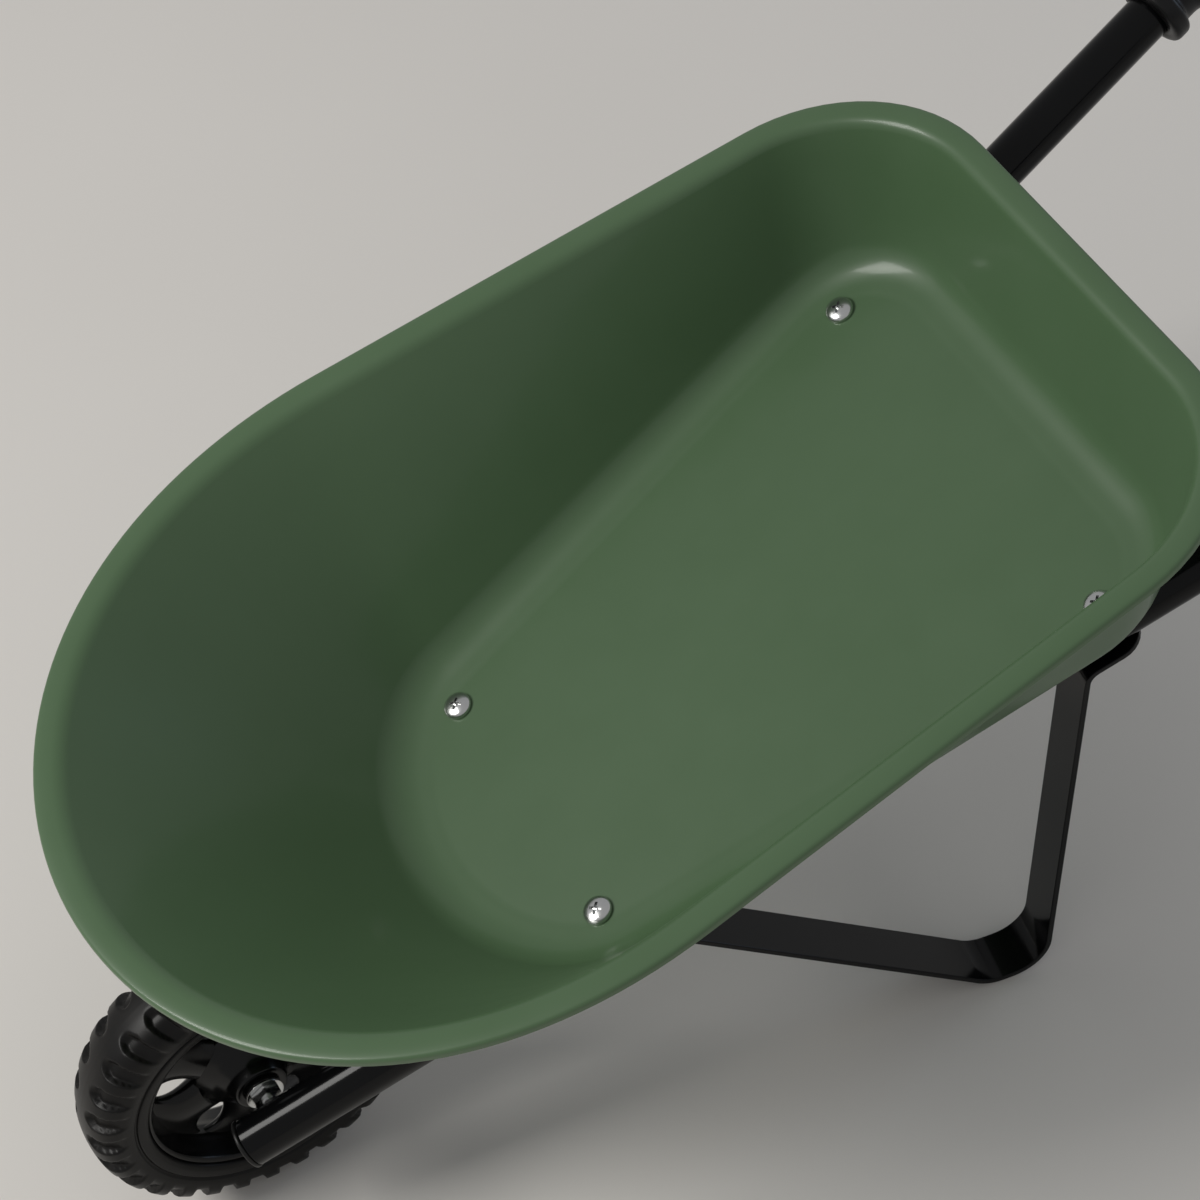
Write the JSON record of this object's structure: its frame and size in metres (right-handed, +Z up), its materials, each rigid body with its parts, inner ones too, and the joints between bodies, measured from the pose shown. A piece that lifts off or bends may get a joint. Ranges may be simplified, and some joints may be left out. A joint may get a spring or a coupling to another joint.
{
  "type": "wheelbarrow",
  "caption": "Small wheelbarrow: pressed-steel tray with a turned-down rim on straight tube shafts, V-shaped strip legs, sleeve grips and a free-turning lugged wheel.",
  "frame": {"origin": "centre of the footprint of the whole barrow, on the ground it stands on", "axes": "+X forward from the grips to the wheel, +Y to the left of someone holding the grips, +Z up"},
  "size_m": [0.6991, 0.3214, 0.307],
  "materials": {
    "green_enamel": "satin sage-green enamel",
    "black_enamel": "gloss black enamel",
    "grip_vinyl": "soft black vinyl",
    "nylon": "moulded black nylon",
    "tyre": "moulded black rubber",
    "rim_plastic": "moulded black plastic",
    "zinc": "bright zinc plate"
  },
  "bodies": {
    "barrow": {"tray": "green_enamel", "frame_tube_left": "black_enamel", "tube_plug_left": "nylon", "grip_left": "grip_vinyl", "leg_left": "black_enamel", "frame_tube_right": "black_enamel", "tube_plug_right": "nylon", "grip_right": "grip_vinyl", "leg_right": "black_enamel", "tray_screw_front_left": "zinc", "washer_front_left": "zinc", "lock_nut_front_left": "zinc", "tray_screw_front_right": "zinc", "washer_front_right": "zinc", "lock_nut_front_right": "zinc", "tray_screw_back_left": "zinc", "washer_back_left": "zinc", "lock_nut_back_left": "zinc", "tray_screw_back_right": "zinc", "washer_back_right": "zinc", "lock_nut_back_right": "zinc", "axle": "zinc", "axle_washer_left": "zinc", "axle_nut_left": "zinc", "axle_washer_right": "zinc", "axle_nut_right": "zinc"},
    "wheel": {"tyre": "tyre", "wheel_rim": "rim_plastic", "wheel_bush_left": "nylon", "wheel_bush_right": "nylon"}
  },
  "joints": [
    {"name": "wheel_spin", "type": "hinge", "parent": "barrow", "child": "wheel", "pos_m": [0.27955, 0, 0.07], "axis": [0, 1, 0], "continuous": true}
  ]
}
